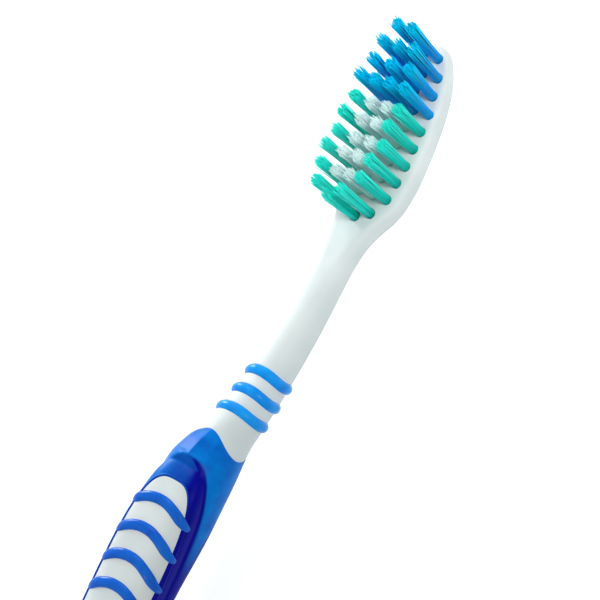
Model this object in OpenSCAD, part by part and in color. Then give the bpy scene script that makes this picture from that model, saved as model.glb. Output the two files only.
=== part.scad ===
// Adult manual toothbrush, two-shot moulded: a hard white core, a soft blue
// grip with a ribbed thumb pad, three soft rings on the neck and 35 tufts.
// Millimetres, +X to the head tip, +Z to the bristle side. It lies on its back
// on z = 0, on a flat under the head and a flat under the tail.
// Distances along the brush are measured from the head tip.

/* [Head] */
// length of the head, tip to where it meets the neck
head_len = 33; // [28:0.5:38]
// width of the head at its widest
head_w = 13.7; // [11:0.1:16]
// thickness of the head
head_t = 4.9; // [4:0.1:6]

/* [Tufts] */
// diameter of a tuft hole
hole_d = 1.7; // [1.5:0.05:1.8]
// depth of a tuft hole
hole_depth = 3; // [2.4:0.1:3.6]
// clearance of a tuft in its hole, all round
tuft_clear = 0.03; // [0.01:0.01:0.06]
// distance between rows
row_pitch = 3.12; // [2.8:0.02:3.2]
// first row, from the tip
first_row = 2.5; // [2.3:0.1:3.2]
// free length of a medium tuft
bristle_h = 10.6; // [8:0.1:13]
// how much shorter the inner white tufts are
inner_drop = 1; // [0:0.1:2]
// radius of one strand, a bundle of filaments
strand_r = 0.155; // [0.12:0.005:0.16]
// lean of the tip's tufts to the tip, in degrees
tip_lean = 5.2; // [0:0.2:10]
// lean of the other tufts to the tip, in degrees
side_lean = 3.6; // [0:0.2:8]
// gap between the anchor wire's ends and the hole's wall
anchor_gap = 0.04; // [0.02:0.01:0.1]
// height of the anchor wire
anchor_h = 1.2; // [0.9:0.05:1.5]
// thickness of the anchor wire
anchor_t = 0.28; // [0.2:0.02:0.34]

/* [Neck] */
// length of the neck, head to grip
neck_len = 41.7; // [34:0.1:48]
// width of the neck at its slimmest
neck_w = 5.5; // [4.8:0.1:6.5]

/* [Neck rings] */
// thickness of a ring's round bar
ring_t = 2.1; // [1.6:0.05:2.4]
// how far a ring stands out of the neck
ring_out = 0.6; // [0.3:0.05:0.7]
// distance between rings
ring_pitch = 3.6; // [3:0.05:4.2]
// last ring, ahead of the grip's edge
ring_gap = 5; // [4.7:0.1:6.5]
// how far a ring bows to the head at the front
ring_bow = 0.85; // [0:0.05:1]

/* [Grip] */
// length of the soft grip
grip_len = 86; // [74:1:96]
// width of the handle at the thumb pad
grip_w = 13.2; // [12.8:0.1:15]
// how far the grip's edge bows to the head at the front and back
grip_wave = 1.5; // [0:0.1:2.5]
// thickness of the soft layer at the sides and back
grip_wall = 1.2; // [0.9:0.1:1.8]
// thickness of the soft layer at the front
front_wall = 2.7; // [2.4:0.1:3.2]
// height of the back where the handle arches
arch_h = 9.5; // [7:0.1:12]
// height of the front beside the thumb pad
shoulder_h = 18.3; // [16.5:0.1:20]

/* [Thumb pad] */
// from the grip's edge to the rim of the pad's dish
pad_from = 3.7; // [2.5:0.1:6]
// length of the pad
pad_len = 45.6; // [38:0.2:48]
// width of the pad
pad_w = 12.4; // [11:0.1:12.6]
// height of the pad's top over its foot
pad_rise = 4; // [3.4:0.1:5.4]
// gap between the pad's foot and the rim of its dish
pad_gap = 0.25; // [0.1:0.05:0.4]
// depth of the dish at its ends
dish_depth = 0.7; // [0.4:0.05:1]
// height of the shoulder over the pad's foot
foot_drop = 1.4; // [1.2:0.05:1.6]
// width of the soft border between the pad's end and the white window
border_end = 4.1; // [3:0.1:6]
// width of the soft border along the pad's sides
border_side = 0.35; // [0.15:0.05:0.5]

/* [Thumb ribs] */
// number of ribs over the window
rib_count = 7; // [3:1:7]
// distance between ribs
rib_pitch = 5; // [4.4:0.1:5.4]
// thickness of a rib's round bar
rib_t = 1.8; // [1.4:0.1:2]
// how far a rib stands out of the window
rib_out = 0.5; // [0.35:0.05:0.85]
// how far a rib's middle is bowed to the head, from its ends
rib_bow = 2.8; // [0:0.1:3.2]

/* [Tail] */
// length of the bare white tail
tail_len = 30; // [24:1:40]
// width of the tail
tail_w = 10.6; // [9:0.1:12]

/* [Hidden] */
// what a cut runs past the solid that it cuts
over = 1;
// depth of the flats under the head and tail
flat_depth = 0.25;
// keys closer than this get no station between them
close_keys = 6.5;
// rings of the model pass from flat to wavy over this much of the length
edge_span = 2.1;

brush_len = head_len + neck_len + grip_len + tail_len;
x_tip = brush_len / 2;

// Stations: share of the zone's length, share of its width, back and front
// heights as shares of the zone's sizes, squareness of the front and back.
head_shares = [
    [0, 0.07, 0.52, 0.77, 2.4, 2.2], [0.015, 0.245, 0.39, 0.9, 3, 2.4],
    [0.036, 0.36, 0.31, 0.97, 5, 2.4], [0.076, 0.485, 0.22, 1, 7, 2.5],
    [0.17, 0.69, 0.09, 1, 7, 2.5], [0.264, 0.8, 0.02, 1, 7, 2.7],
    [0.394, 0.9, 0, 1, 7, 3], [0.545, 0.97, 0, 1, 7, 3],
    [0.7, 1, 0, 1, 7, 2.9], [0.82, 0.955, 0, 1, 7, 2.7],
    [0.91, 0.84, 0, 1.02, 6, 2.9], [1, 0.63, 0.03, 1.06, 4, 2.7]];
neck_shares = [
    [0.075, 1.18, 0.026, 0.312, 2.8, 2.4], [0.17, 1, 0.063, 0.34, 2.2, 2.2],
    [0.32, 1.1, 0.125, 0.395, 2.1, 2.1], [0.48, 1.24, 0.215, 0.475, 2.1, 2.1],
    [0.67, 1.32, 0.355, 0.573, 2.1, 2.1], [0.82, 1.4, 0.515, 0.683, 2.1, 2.2],
    [0.895, 1.52, 0.63, 0.77, 2, 2.2]];
grip_shares = [
    [-0.012, 0.68, 0.75, 0.885, 1.9, 2.3], [0.018, 0.78, 0.83, 0.985, 1.8, 2.4],
    [0.053, 0.875, 0.9, 1.05, 1.9, 2.5], [0.088, 0.91, 0.97, 1.025, 2.4, 2.6],
    [0.123, 0.925, 1.02, 1.008, 2.9, 2.7], [0.165, 0.955, 1.085, 1, 3.2, 2.8],
    [0.22, 0.975, 1.15, 1, 3.4, 2.5], [0.3, 0.97, 1.22, 1, 3.4, 2.3],
    [0.4, 0.97, 1.2, 0.995, 3.3, 2.3], [0.5, 0.96, 1.09, 0.985, 3, 2.3],
    [0.59, 0.92, 0.86, 0.955, 2.8, 2.6], [0.7, 0.87, 0.67, 0.885, 2.5, 2.5],
    [0.82, 0.825, 0.46, 0.795, 2.4, 2.4], [0.93, 0.8, 0.255, 0.7, 2.4, 2.4]];
tail_shares = [
    [0.05, 0.98, 0.14, 0.64, 2.4, 2.4], [0.25, 1, 0.025, 0.565, 2.4, 2.4],
    [0.4, 1, 0, 0.52, 2.4, 2.4], [0.75, 0.93, 0, 0.465, 2.4, 2.4],
    [0.9, 0.73, 0, 0.42, 2.3, 2.3], [0.965, 0.48, 0.04, 0.36, 2.2, 2.2],
    [1, 0.16, 0.12, 0.26, 2.1, 2.1]];

grip_at = head_len + neck_len;
tail_at = grip_at + grip_len;
// Stations beside the pad follow its length, and those behind it follow the rest
// of the grip.
pad_zone = pad_from + pad_len + 2 * pad_gap;
pad_zone_share = 0.579;
function grip_station(s) = s < pad_zone_share ? s / pad_zone_share * pad_zone
    : pad_zone + (s - pad_zone_share) / (1 - pad_zone_share) * (grip_len - pad_zone);
body_keys = concat(
    [for (s = head_shares) [s[0] * head_len, s[1] * head_w / 2,
        s[2] * head_t - flat_depth, s[3] * head_t, s[4], s[5]]],
    [for (s = neck_shares) [head_len + s[0] * neck_len, s[1] * neck_w / 2,
        s[2] * arch_h, s[3] * shoulder_h, s[4], s[5]]],
    [for (s = grip_shares) [grip_at + grip_station(s[0]), s[1] * grip_w / 2,
        s[2] * arch_h, s[3] * shoulder_h, s[4], s[5]]],
    [for (s = tail_shares) [tail_at + s[0] * tail_len, s[1] * tail_w / 2,
        s[2] * arch_h - flat_depth, s[3] * shoulder_h, s[4], s[5]]]);

// Sides of a section, and stations between two keys.
sides = 28;
steps = 2;

// Smooth curve through the keys that never overshoots them.
function rate(k, c, i) = (k[i + 1][c] - k[i][c]) / (k[i + 1][0] - k[i][0]);
function lean_at(k, c, i) = i == 0 ? rate(k, c, 0)
    : i == len(k) - 1 ? rate(k, c, i - 1)
    : let (a = rate(k, c, i - 1), b = rate(k, c, i)) a * b <= 0 ? 0 : 2 * a * b / (a + b);
function span_of(k, d) = [for (i = [0:len(k) - 2]) if (d < k[i + 1][0] || i == len(k) - 2) i][0];
function curve(k, c, d) = let (
    i = span_of(k, d), h = k[i + 1][0] - k[i][0], u = (d - k[i][0]) / h)
    k[i][c] * (1 + 2 * u) * (1 - u) * (1 - u) + lean_at(k, c, i) * h * u * (1 - u) * (1 - u)
    + k[i + 1][c] * u * u * (3 - 2 * u) + lean_at(k, c, i + 1) * h * u * u * (u - 1);
// Half width, back, front, squareness of front and back at distance d.
function section(d) = [for (c = [1:5]) curve(body_keys, c, d)];

function bend(v, e) = sign(v) * pow(abs(v), e);
// Point of a section at angle t, 0 at +Y and 90 at the front, as [y, z].
function rim_point(s, t) = let (e = 2 / (sin(t) >= 0 ? s[3] : s[4]))
    [s[0] * bend(cos(t), e), (s[1] + s[2]) / 2 + (s[2] - s[1]) / 2 * bend(sin(t), e)];
function rim_normal(s, t) = let (
    a = rim_point(s, t - 1), b = rim_point(s, t + 1), v = [b[1] - a[1], a[0] - b[0]])
    v / norm(v);

// The grip's edges bow to the head at its start and to the tail at its end.
function edge_wave(t, d) = grip_wave * cos(2 * (t - 90)) * (d < pad_at ? -1 : 1);
function ring_of(at, inner) = [for (i = [0:sides - 1]) let (
    t = i * 360 / sides, d = at[0] + at[1] * edge_wave(t, at[0]),
    p = rim_point(inner ? inner_section(d) : section(d), t)) [x_tip - d, p[0], p[1]]];

// Flat stations between two distances, as [distance, share of the edge's wave].
function flat_stations(a, b) = [for (i = [0:len(body_keys) - 2], j = [0:steps - 1])
    let (n = body_keys[i + 1][0] - body_keys[i][0] < close_keys ? 1 : steps,
        d = body_keys[i][0] + (body_keys[i + 1][0] - body_keys[i][0]) * j / n)
    if (j < n && d >= a && d <= b) [d, 0]];
neck_stations = concat(flat_stations(0, grip_at - 2 * edge_span), [[grip_at - edge_span, 0.5], [grip_at, 1]]);
grip_stations = concat([[grip_at, 1], [grip_at + edge_span, 0.5]],
    flat_stations(grip_at + 2 * edge_span, tail_at - 2 * edge_span),
    [[tail_at - edge_span, 0.5], [tail_at, 1]]);
tail_stations = concat([[tail_at, 1], [tail_at + edge_span, 0.5]],
    flat_stations(tail_at + 2 * edge_span, brush_len), [[brush_len, 0]]);

// The sleeve's bore has every second flat ring.
bore_stations = let (m = len(grip_stations)) concat(
    [for (k = [0, 1]) grip_stations[k]], [for (k = [2:2:m - 3]) grip_stations[k]],
    [for (k = [m - 2, m - 1]) grip_stations[k]]);

// Hard core inside the grip, set back by the soft layer, which is thicker
// under the thumb pad.
function under_pad(d) = max(0, 1 - pow((d - pad_at) / (pad_len / 2 + border_end), 4));
function inner_section(d) = let (s = section(d))
    [s[0] - grip_wall, s[1] + grip_wall,
        s[2] - grip_wall - (front_wall - grip_wall) * under_pad(d), s[3] < 2.4 ? 2.4 : s[3], s[4]];

function centre(r) = [for (c = [0:2]) (min([for (p = r) p[c]]) + max([for (p = r) p[c]])) / 2];

// Triangles between ring k and ring l of n points.
function band(k, l, n) = concat(
    [for (i = [0:n - 1]) [k * n + i, k * n + (i + 1) % n, l * n + (i + 1) % n]],
    [for (i = [0:n - 1]) [k * n + i, l * n + (i + 1) % n, l * n + i]]);

// Closed solid through rings of points that run from +X to -X.
module loft(rings) {
    n = len(rings[0]);
    m = len(rings);
    polyhedron(
        points = concat([for (r = rings) for (p = r) p], [centre(rings[0]), centre(rings[m - 1])]),
        faces = concat(
            [for (k = [0:m - 2]) each band(k, k + 1, n)],
            [for (i = [0:n - 1]) [m * n, (i + 1) % n, i]],
            [for (i = [0:n - 1]) [m * n + 1, (m - 1) * n + i, (m - 1) * n + (i + 1) % n]]));
}

// Closed tube: the last ring joins the first.
module loop(rings) {
    polyhedron(
        points = [for (r = rings) for (p = r) p],
        faces = [for (k = [0:len(rings) - 1]) each band(k, (k + 1) % len(rings), len(rings[0]))]);
}

// The whole core in one form: it steps in under the grip at both edges.
module core_body() {
    loft(concat(
        [for (a = neck_stations) ring_of(a, false)],
        [for (a = bore_stations) ring_of(a, true)],
        [for (a = tail_stations) ring_of(a, false)]));
}

// The grip's sleeve, on the same rings.
module sleeve() {
    m = len(bore_stations);
    loop(concat(
        [for (a = grip_stations) ring_of(a, false)],
        [for (k = [0:m - 1]) ring_of(bore_stations[m - 1 - k], true)]));
}

// The space below the surface that the brush lies on.
module below() {
    translate([-x_tip - over, -grip_w, -arch_h])
        cube([brush_len + 2 * over, 2 * grip_w, arch_h]);
}

// Thumb pad: a long dome, with one squareness for its outline, its section,
// the rim of its dish and the white window, and another one for its height.
pad_square = 3.2;
pad_end_square = 2.3;
pad_sides = 22;
pad_rings = 12;
pad_at = grip_at + pad_from + pad_gap + pad_len / 2;
pad_foot = shoulder_h - foot_drop;
function oval(s) = pow(max(0, 1 - pow(abs(s), pad_square)), 1 / pad_square);
function arc(s) = pow(max(0, 1 - pow(abs(s), pad_end_square)), 1 / pad_end_square);
function along(i) = -cos(180 * (i + (i == 0 ? 0.2 : i == pad_rings ? -0.2 : 0)) / pad_rings);

// Ring of a form that goes up and down from z by its own amounts.
function pad_ring(d, w, z, up, down, n_up, n_down) = [for (i = [0:pad_sides - 1])
    let (t = i * 360 / pad_sides, n = sin(t) >= 0 ? n_up : n_down)
    [x_tip - d, w * bend(cos(t), 2 / n),
        z + (sin(t) >= 0 ? up * bend(sin(t), 2 / n_up) : down * bend(sin(t), 2 / n_down))]];

module pad_dome(rise) {
    loft([for (i = [0:pad_rings]) let (s = along(i))
        pad_ring(pad_at + s * pad_len / 2, pad_w / 2 * oval(s), pad_foot,
            rise * arc(s), front_wall, pad_square, 8)]);
}

// Dish that the dome stands in: deepest beside the dome, shallow at its ends.
module pad_dish() {
    loft([for (i = [0:pad_rings]) let (
        s = along(i), d = pad_at + s * (pad_len / 2 + pad_gap), low = pad_foot - dish_depth,
        floor_z = low + (section(d)[2] - dish_depth - low) * pow(s, 4))
        pad_ring(d, (pad_w / 2 + pad_gap) * oval(s),
            floor_z + dish_depth, pad_rise + over, dish_depth, 8, 4)]);
}

// White window in the pad, cut straight down.
window_len = pad_len - 2 * border_end;
window_w = pad_w - 2 * border_side;
module window_prism() {
    translate([x_tip - pad_at, 0, pad_foot - 2 * front_wall])
        linear_extrude(pad_rise + 3 * front_wall)
            polygon([for (i = [0:sides - 1]) let (t = i * 360 / sides, e = 2 / pad_square)
                [window_len / 2 * bend(cos(t), e), window_w / 2 * bend(sin(t), e)]]);
}

// What shows in the window is part of the core, up to the dome's own height.
module island(rise) {
    intersection() {
        pad_dome(rise);
        window_prism();
    }
}

// Ring of a bar at b, between a and c. Its profile is a list of [up, across].
function bar_ring(a, b, c, up, profile) = let (
    along_it = (c - a) / norm(c - a), side = cross(along_it, up) / norm(cross(along_it, up)),
    top = cross(side, along_it))
    [for (p = profile) b + p[0] * top - p[1] * side];
bar_sides = 6;
function round_profile(r) = [for (j = [0:bar_sides - 1]) let (q = j * 360 / bar_sides) r * [cos(q), sin(q)]];

// Ribs follow the dome, bowed to the head, and end in the dish. They are round
// on top and have a flat root inside the pad.
rib_root = 0.35;
rib_root_share = 0.4;
rib_end_share = 0.55;
function rib_profile(k) = k * concat(
    [for (q = [0, 45, 90]) [rib_out * cos(q), rib_t / 2 * sin(q)]],
    [[-rib_root, rib_root_share * rib_t], [-rib_root, -rib_root_share * rib_t]],
    [for (q = [-90, -45]) [rib_out * cos(q), rib_t / 2 * sin(q)]]);
function dome_point(d, t) = let (
    s = (d - pad_at) / (pad_len / 2), e = 2 / pad_square,
    w = pad_w / 2 * oval(s), up = pad_rise * arc(s))
    [w * bend(cos(t), e), pad_foot + up * bend(sin(t), e)];
function rib_point(d, t) = let (
    y = dome_point(d, t)[0], dd = d + rib_bow * pow(2 * y / pad_w, 2),
    p = dome_point(dd, t), a = dome_point(dd, t - 1), b = dome_point(dd, t + 1),
    v = [b[1] - a[1], a[0] - b[0]] / norm(b - a))
    [[x_tip - dd, p[0], p[1]], [0, v[0], v[1]]];
// A rib turns where the dome's faces do, and starts half a face up.
rib_steps = pad_sides / 2;
function rib_angle(i) = 360 / pad_sides * min(max(i, 0.5), rib_steps - 0.5);
module rib(k) {
    d = pad_at + rib_pitch * (k - (rib_count - 1) / 2);
    pts = [for (i = [0:rib_steps]) rib_point(d, rib_angle(i))];
    loft([for (i = [0:rib_steps]) let (
        a = pts[max(0, i - 1)][0], c = pts[min(rib_steps, i + 1)][0])
        bar_ring(a, pts[i][0], c, pts[i][1], rib_profile(i == 0 || i == rib_steps ? rib_end_share : 1))]);
}

// Neck rings: bars that lie half in a groove round the neck.
ring_count = 3;
ring_steps = 20;
function ring_point(k, t) = let (
    d = grip_at - ring_gap - (ring_count - k) * ring_pitch - ring_bow * pow(max(0, sin(t)), 2),
    s = section(d), p = rim_point(s, t), v = rim_normal(s, t), in = ring_t / 2 - ring_out)
    [[x_tip - d, p[0] - in * v[0], p[1] - in * v[1]], [0, v[0], v[1]]];
module ring_bar(k) {
    step = 360 / ring_steps;
    loop([for (i = [0:ring_steps - 1]) let (p = ring_point(k, i * step))
        bar_ring(ring_point(k, (i - 1) * step)[0], p[0], ring_point(k, (i + 1) * step)[0], p[1],
            round_profile(ring_t / 2))]);
}

// Rows of tufts, from the tip: outer column and inner column as shares of the
// head's half width (no inner column below 0, one tuft at 0) and free length.
row_shares = [
    [0.219, -1, 1.07], [0.451, 0, 1.025], [0.542, 0, 0.97], [0.661, 0.22, 0.985],
    [0.661, 0.22, 0.88], [0.679, 0.225, 0.955], [0.692, 0.23, 0.88],
    [0.664, 0.22, 1.01], [0.61, 0.205, 0.975], [0.361, -1, 1.085]];
tip_rows = 4;
heel_row = len(row_shares) - 1;
heel_back_share = 0.42;
function row_at(r) = first_row + r * row_pitch;
function kind_of(r, inner) = r < tip_rows ? 0 : r == heel_row ? 3 : inner ? 2 : 1;
kind_names = ["tip_tuft", "side_tuft", "inner_tuft", "heel_tuft"];
kind_colours = ["#0a5fc0", "#1fc2ad", "#dcebe2", "#1fc2ad"];
// One tuft: name, distance, place across, free length, kind.
function tuft_of(r, c, d, y, h, inner) = let (k = kind_of(r, inner))
    [str(kind_names[k], "_", r + 1, "_", c), d, y, h, k];
tufts = concat([for (r = [0:heel_row]) let (
        s = row_shares[r], y = s[0] * head_w / 2, q = s[1] * head_w / 2, h = s[2] * bristle_h,
        low = r < tip_rows ? h : h - inner_drop)
    each concat(
        [tuft_of(r, 1, row_at(r), -y, h, false), tuft_of(r, 2, row_at(r), y, h, false)],
        s[1] < 0 ? [] : s[1] == 0 ? [tuft_of(r, 3, row_at(r), 0, low, true)]
        : [tuft_of(r, 3, row_at(r), -q, low, true), tuft_of(r, 4, row_at(r), q, low, true)])],
    [tuft_of(heel_row, 3, row_at(heel_row + heel_back_share), 0, bristle_h, false)]);

hole_sides = 8;
module tuft_hole(t) {
    translate([x_tip - t[1], t[2], head_t - hole_depth])
        cylinder(h = hole_depth + over, d = hole_d, $fn = hole_sides);
}
anchor_len = hole_d * cos(180 / hole_sides) - 2 * anchor_gap;
module anchor(t) {
    translate([x_tip - t[1] - anchor_t / 2, t[2] - anchor_len / 2, head_t - hole_depth])
        cube([anchor_t, anchor_len, anchor_h]);
}

// Three-sided strand from a to b, rooted in the tuft's plug.
module strand(a, b, r, turn) {
    u = [for (q = [0, 120, 240]) [r * cos(q + turn), r * sin(q + turn), 0]];
    polyhedron(
        points = concat([for (p = u) a + p], [for (p = u) b + p]),
        faces = [[0, 1, 2], [5, 4, 3], [0, 3, 4], [0, 4, 1], [1, 4, 5], [1, 5, 2], [2, 5, 3], [2, 3, 0]]);
}

// Strands stand in two circles and spread a little to their ends.
inner_strands = 3;
outer_strands = 9;
inner_share = 0.32;
outer_share = 0.7;
spread_share = 1.3;
plug_r = hole_d / 2 - tuft_clear;
strand_root = strand_r;
function tip_of(p, h, lean) = [p[0] * spread_share + h * tan(lean), p[1] * spread_share, h];
module tuft(t) {
    lean = t[4] == 0 ? tip_lean : side_lean;
    color(kind_colours[t[4]])
        difference() {
            translate([x_tip - t[1], t[2], head_t])
                union() {
                    translate([0, 0, -hole_depth])
                        cylinder(h = hole_depth, r = plug_r, $fn = hole_sides);
                    for (i = [0:inner_strands - 1]) {
                        q = i * 360 / inner_strands;
                        p = inner_share * plug_r * [cos(q), sin(q), 0];
                        strand(p - [0, 0, strand_root], tip_of(p, t[3], lean), strand_r, q);
                    }
                    for (i = [0:outer_strands - 1]) {
                        q = (i + 0.5) * 360 / outer_strands;
                        p = outer_share * plug_r * [cos(q), sin(q), 0];
                        strand(p - [0, 0, strand_root], tip_of(p, t[3] - strand_r * (i % 3), lean),
                            strand_r, q + 180 * (i % 2));
                    }
                }
            anchor(t);
        }
}

module handle_core() {
    color("#eef2f1")
        difference() {
            union() {
                core_body();
                island(pad_rise);
            }
            below();
            for (k = [1:ring_count]) ring_bar(k);
            for (t = tufts) tuft_hole(t);
        }
}

module grip_overmould() {
    color("#0a63c8")
        difference() {
            union() {
                difference() {
                    union() {
                        difference() {
                            sleeve();
                            pad_dish();
                        }
                        difference() {
                            pad_dome(pad_rise);
                            core_body();
                        }
                    }
                    island(pad_rise + over);
                }
                for (k = [0:rib_count - 1]) rib(k);
            }
            island(pad_rise);
        }
}

module neck_ring(k) {
    color("#1478e6") ring_bar(k);
}

module staple_anchors() {
    color("#c9a24a") for (t = tufts) anchor(t);
}

handle_core();
grip_overmould();
for (k = [1:ring_count]) neck_ring(k);
staple_anchors();
for (t = tufts) tuft(t);
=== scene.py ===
# %% [markdown]
# A manual toothbrush. The real one is a white polypropylene handle made in one shot, a soft
# blue grip and three soft rings moulded over it in a second shot, and 35 tufts of nylon
# filament that brass anchors hold in the head. The imported model gives the pieces at their real
# size, and this lesson gives each of them the form and finish that the eye expects.

# %% [markdown]
# The imported model comes in as a fixed frame: one object for each node, in metres. Nothing in it
# is moved. Its box is kept from here and printed at the end, because a finish may change how a
# thing looks but not how big it is.

# %% Load the frame
import math

import bmesh
import bpy
import numpy as np
from mathutils import Matrix, Vector


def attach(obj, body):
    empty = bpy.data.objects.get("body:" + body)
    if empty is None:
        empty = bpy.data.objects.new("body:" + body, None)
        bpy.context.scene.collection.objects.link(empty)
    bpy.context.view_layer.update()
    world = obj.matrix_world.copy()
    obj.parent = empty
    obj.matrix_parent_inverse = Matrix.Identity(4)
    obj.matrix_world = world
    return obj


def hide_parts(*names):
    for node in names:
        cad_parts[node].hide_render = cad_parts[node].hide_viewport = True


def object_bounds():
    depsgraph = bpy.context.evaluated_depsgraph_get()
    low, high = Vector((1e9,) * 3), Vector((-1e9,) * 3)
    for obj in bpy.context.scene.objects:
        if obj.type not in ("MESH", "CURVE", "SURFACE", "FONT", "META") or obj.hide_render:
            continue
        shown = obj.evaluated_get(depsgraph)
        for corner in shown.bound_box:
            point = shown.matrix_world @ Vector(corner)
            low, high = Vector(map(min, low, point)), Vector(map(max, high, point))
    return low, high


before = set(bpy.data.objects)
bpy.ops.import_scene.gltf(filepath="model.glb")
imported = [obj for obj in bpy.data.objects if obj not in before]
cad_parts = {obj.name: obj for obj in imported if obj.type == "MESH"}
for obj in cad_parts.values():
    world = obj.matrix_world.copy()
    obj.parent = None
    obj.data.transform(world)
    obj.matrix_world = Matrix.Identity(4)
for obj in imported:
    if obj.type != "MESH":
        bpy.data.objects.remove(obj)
cad_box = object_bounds()
print("nodes:", len(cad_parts), "box:", [list(corner) for corner in cad_box])

# %% [markdown]
# Sizes are written in millimetres, as on a drawing, and turned to metres when a mesh is made.
# Distances along the brush run from the tip of the head, so the tip is where the frame's box
# ends. They are the same driving sizes as in the construction.

# %% Driving sizes of the head, neck and rings in millimetres
MM = 0.001
HEAD_LEN, HEAD_W, HEAD_T = 33, 13.7, 4.9
HOLE_D, HOLE_DEPTH, ROW_PITCH, FIRST_ROW = 1.7, 3, 3.12, 2.5
BRISTLE_H, INNER_DROP = 10.6, 1
NECK_LEN, NECK_W = 41.7, 5.5
RING_T, RING_OUT, RING_PITCH, RING_GAP, RING_BOW = 2.1, 0.6, 3.6, 5, 0.85
print("head:", HEAD_LEN, "x", HEAD_W, "mm, neck:", NECK_LEN, "x", NECK_W, "mm")

# %% [markdown]
# The grip's sizes come next: its layer over the core, the thumb pad in its dish, the ribs over
# the pad's window, and the tail. The places along the brush follow from the lengths, so a change
# of one length moves all that comes after it, as in the construction.

# %% Driving sizes of the grip and tail in millimetres
GRIP_LEN, GRIP_W, GRIP_WAVE, GRIP_WALL, FRONT_WALL = 86, 13.2, 1.5, 1.2, 2.7
ARCH_H, SHOULDER_H = 9.5, 18.3
PAD_FROM, PAD_LEN, PAD_W, PAD_RISE, PAD_GAP = 3.7, 45.6, 12.4, 4, 0.25
DISH_DEPTH, FOOT_DROP, BORDER_END, BORDER_SIDE = 0.7, 1.4, 4.1, 0.35
RIB_COUNT, RIB_PITCH, RIB_T, RIB_OUT, RIB_BOW, RIB_ROOT = 7, 5, 1.8, 0.5, 2.8, 0.35
TAIL_LEN, TAIL_W, FLAT_DEPTH, EDGE_SPAN = 30, 10.6, 0.25, 2.1

GRIP_AT = HEAD_LEN + NECK_LEN
TAIL_AT = GRIP_AT + GRIP_LEN
BRUSH_LEN = TAIL_AT + TAIL_LEN
TIP = cad_box[1].x / MM
PAD_AT = GRIP_AT + PAD_FROM + PAD_GAP + PAD_LEN / 2
PAD_FOOT = SHOULDER_H - FOOT_DROP
PAD_SQUARE, PAD_END_SQUARE = 3.2, 2.3
print("brush length:", BRUSH_LEN, "mm, tip at x =", round(TIP, 2), "mm")

# %% [markdown]
# The handle is a loft: a section that changes its width, its back, its front and its squareness
# along the brush. A designer sets a few stations and lets a smooth curve pass through them. The
# curve here never overshoots a station, so a flat stretch stays flat. The stations are those of
# the construction, but for the five nearest the shoulder between head and neck. These are a
# little narrower and squarer, which moves the surface by less than half a millimetre and gives
# the shoulder its crease.

# %% Stations of the body
HEAD_SHARES = [
    (0, 0.07, 0.52, 0.77, 2.4, 2.2), (0.015, 0.245, 0.39, 0.9, 3, 2.4),
    (0.036, 0.36, 0.31, 0.97, 5, 2.4), (0.076, 0.485, 0.22, 1, 7, 2.5),
    (0.17, 0.69, 0.09, 1, 7, 2.5), (0.264, 0.8, 0.02, 1, 7, 2.7),
    (0.394, 0.9, 0, 1, 7, 3), (0.545, 0.97, 0, 1, 7, 3),
    (0.7, 1, 0, 1, 7, 2.9), (0.82, 0.955, 0, 1, 7, 2.7),
    (0.91, 0.81, 0, 1.02, 7, 2.9), (1, 0.585, 0.03, 1.06, 7.5, 2.7)]
NECK_SHARES = [
    (0.075, 1.12, 0.026, 0.312, 6.5, 2.4), (0.17, 1, 0.063, 0.34, 3.6, 2.2),
    (0.32, 1.1, 0.125, 0.395, 2.4, 2.1), (0.48, 1.24, 0.215, 0.475, 2.1, 2.1),
    (0.67, 1.32, 0.355, 0.573, 2.1, 2.1), (0.82, 1.4, 0.515, 0.683, 2.1, 2.2),
    (0.895, 1.52, 0.63, 0.77, 2, 2.2)]
GRIP_SHARES = [
    (-0.012, 0.68, 0.75, 0.885, 1.9, 2.3), (0.018, 0.78, 0.83, 0.985, 1.8, 2.4),
    (0.053, 0.875, 0.9, 1.05, 1.9, 2.5), (0.088, 0.91, 0.97, 1.025, 2.4, 2.6),
    (0.123, 0.925, 1.02, 1.008, 2.9, 2.7), (0.165, 0.955, 1.085, 1, 3.2, 2.8),
    (0.22, 0.975, 1.15, 1, 3.4, 2.5), (0.3, 0.97, 1.22, 1, 3.4, 2.3),
    (0.4, 0.97, 1.2, 0.995, 3.3, 2.3), (0.5, 0.96, 1.09, 0.985, 3, 2.3),
    (0.59, 0.92, 0.86, 0.955, 2.8, 2.6), (0.7, 0.87, 0.67, 0.885, 2.5, 2.5),
    (0.82, 0.825, 0.46, 0.795, 2.4, 2.4), (0.93, 0.8, 0.255, 0.7, 2.4, 2.4)]
TAIL_SHARES = [
    (0.05, 0.98, 0.14, 0.64, 2.4, 2.4), (0.25, 1, 0.025, 0.565, 2.4, 2.4),
    (0.4, 1, 0, 0.52, 2.4, 2.4), (0.75, 0.93, 0, 0.465, 2.4, 2.4),
    (0.9, 0.73, 0, 0.42, 2.3, 2.3), (0.965, 0.48, 0.04, 0.36, 2.2, 2.2),
    (1, 0.16, 0.12, 0.26, 2.1, 2.1)]


def zone_keys(shares, start, length, width, back, front, sunk):
    """Stations of one zone: distance, half width, back, front and the two squarenesses."""
    table = np.array(shares, float)
    table[:, 0] = start + table[:, 0] * length
    table[:, 1] *= width / 2
    table[:, 2] = table[:, 2] * back - sunk
    table[:, 3] *= front
    return table


BODY_KEYS = np.concatenate([
    zone_keys(HEAD_SHARES, 0, HEAD_LEN, HEAD_W, HEAD_T, HEAD_T, FLAT_DEPTH),
    zone_keys(NECK_SHARES, HEAD_LEN, NECK_LEN, NECK_W, ARCH_H, SHOULDER_H, 0),
    zone_keys(GRIP_SHARES, GRIP_AT, GRIP_LEN, GRIP_W, ARCH_H, SHOULDER_H, 0),
    zone_keys(TAIL_SHARES, TAIL_AT, TAIL_LEN, TAIL_W, ARCH_H, SHOULDER_H, FLAT_DEPTH)])
print("stations:", len(BODY_KEYS))

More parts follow.
